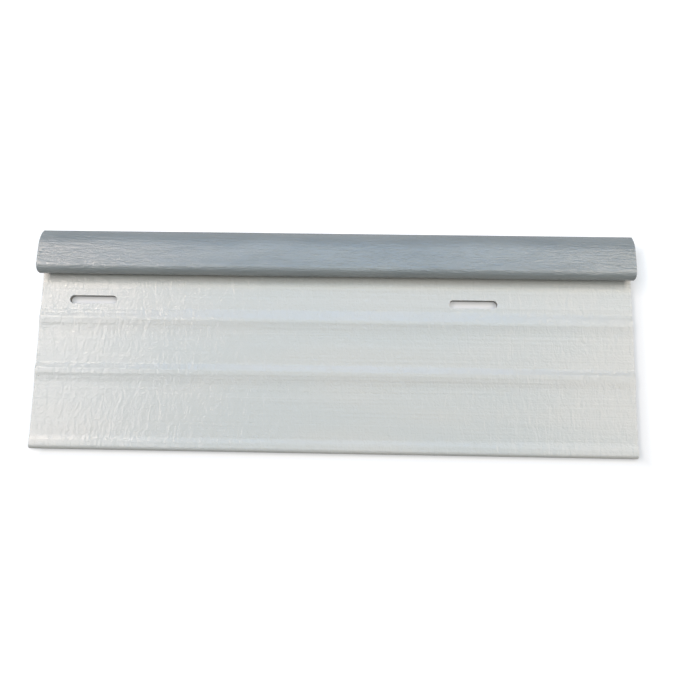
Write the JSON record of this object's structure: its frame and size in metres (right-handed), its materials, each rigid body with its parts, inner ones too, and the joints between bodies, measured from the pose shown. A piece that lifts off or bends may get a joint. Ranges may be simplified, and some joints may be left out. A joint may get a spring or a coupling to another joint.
{
  "type": "door sweep",
  "caption": "Wide ribbed door sweep: a rigid white flange with screw slots and a soft grey bulb that slides into a track along one edge.",
  "frame": {"origin": "middle of the footprint, on the flat back of the carrier", "axes": "+X along the length, +Y across the face from the beaded edge to the bulb, +Z out of the face"},
  "size_m": [0.315, 0.1174, 0.0139],
  "materials": {
    "carrier_pvc": "gloss white rigid PVC with faint lengthwise die lines",
    "bulb_pvc": "satin grey flexible PVC with a fine lengthwise grain"
  },
  "bodies": {
    "carrier": {"carrier_flange": "carrier_pvc"},
    "bulb": {"bulb_seal": "bulb_pvc"}
  },
  "joints": [
    {"name": "bulb_slide", "type": "slide", "parent": "carrier", "child": "bulb", "axis": [1, 0, 0], "range_m": [-0.3, 0.3]}
  ]
}
